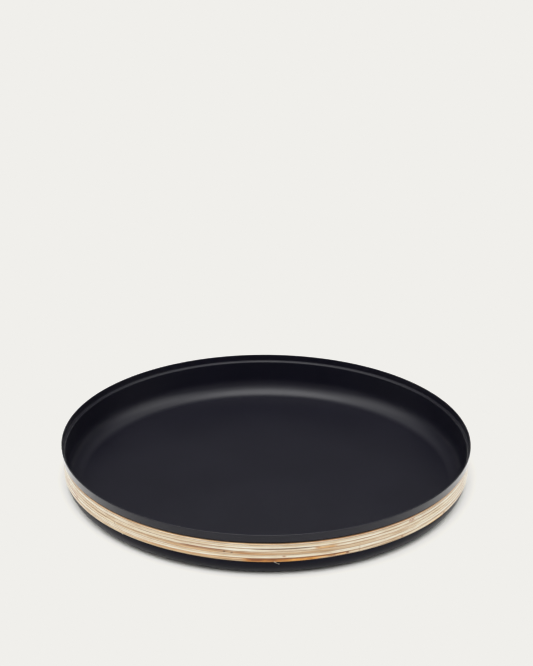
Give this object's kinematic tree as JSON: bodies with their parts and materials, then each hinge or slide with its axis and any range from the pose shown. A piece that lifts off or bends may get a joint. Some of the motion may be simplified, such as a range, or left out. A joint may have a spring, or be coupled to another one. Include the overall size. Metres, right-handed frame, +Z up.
{
  "type": "round serving tray",
  "caption": "Round black metal serving tray with an upright side, a stepped-out lip and a band of pale natural splints round its outside.",
  "frame": {"origin": "centre of the flat underside, on the surface that the tray stands on", "axes": "+Z up along the axis of revolution, +X and +Y any two square directions in the plane of the underside"},
  "size_m": [0.4, 0.4, 0.045],
  "materials": {
    "black_coating": "satin black powder coat with a very fine orange peel",
    "adhesive": "dried contact adhesive, dull amber",
    "splint_pale": "natural, unvarnished, fine lengthwise grain",
    "splint_tan": "natural, unvarnished, fine lengthwise grain"
  },
  "bodies": {
    "root": {"tray_pan": "black_coating", "adhesive_film": "adhesive", "splint_1": "splint_pale", "splint_2": "splint_tan", "splint_3": "splint_pale", "splint_4": "splint_tan", "splint_5": "splint_pale", "splint_6": "splint_tan"}
  },
  "joints": []
}
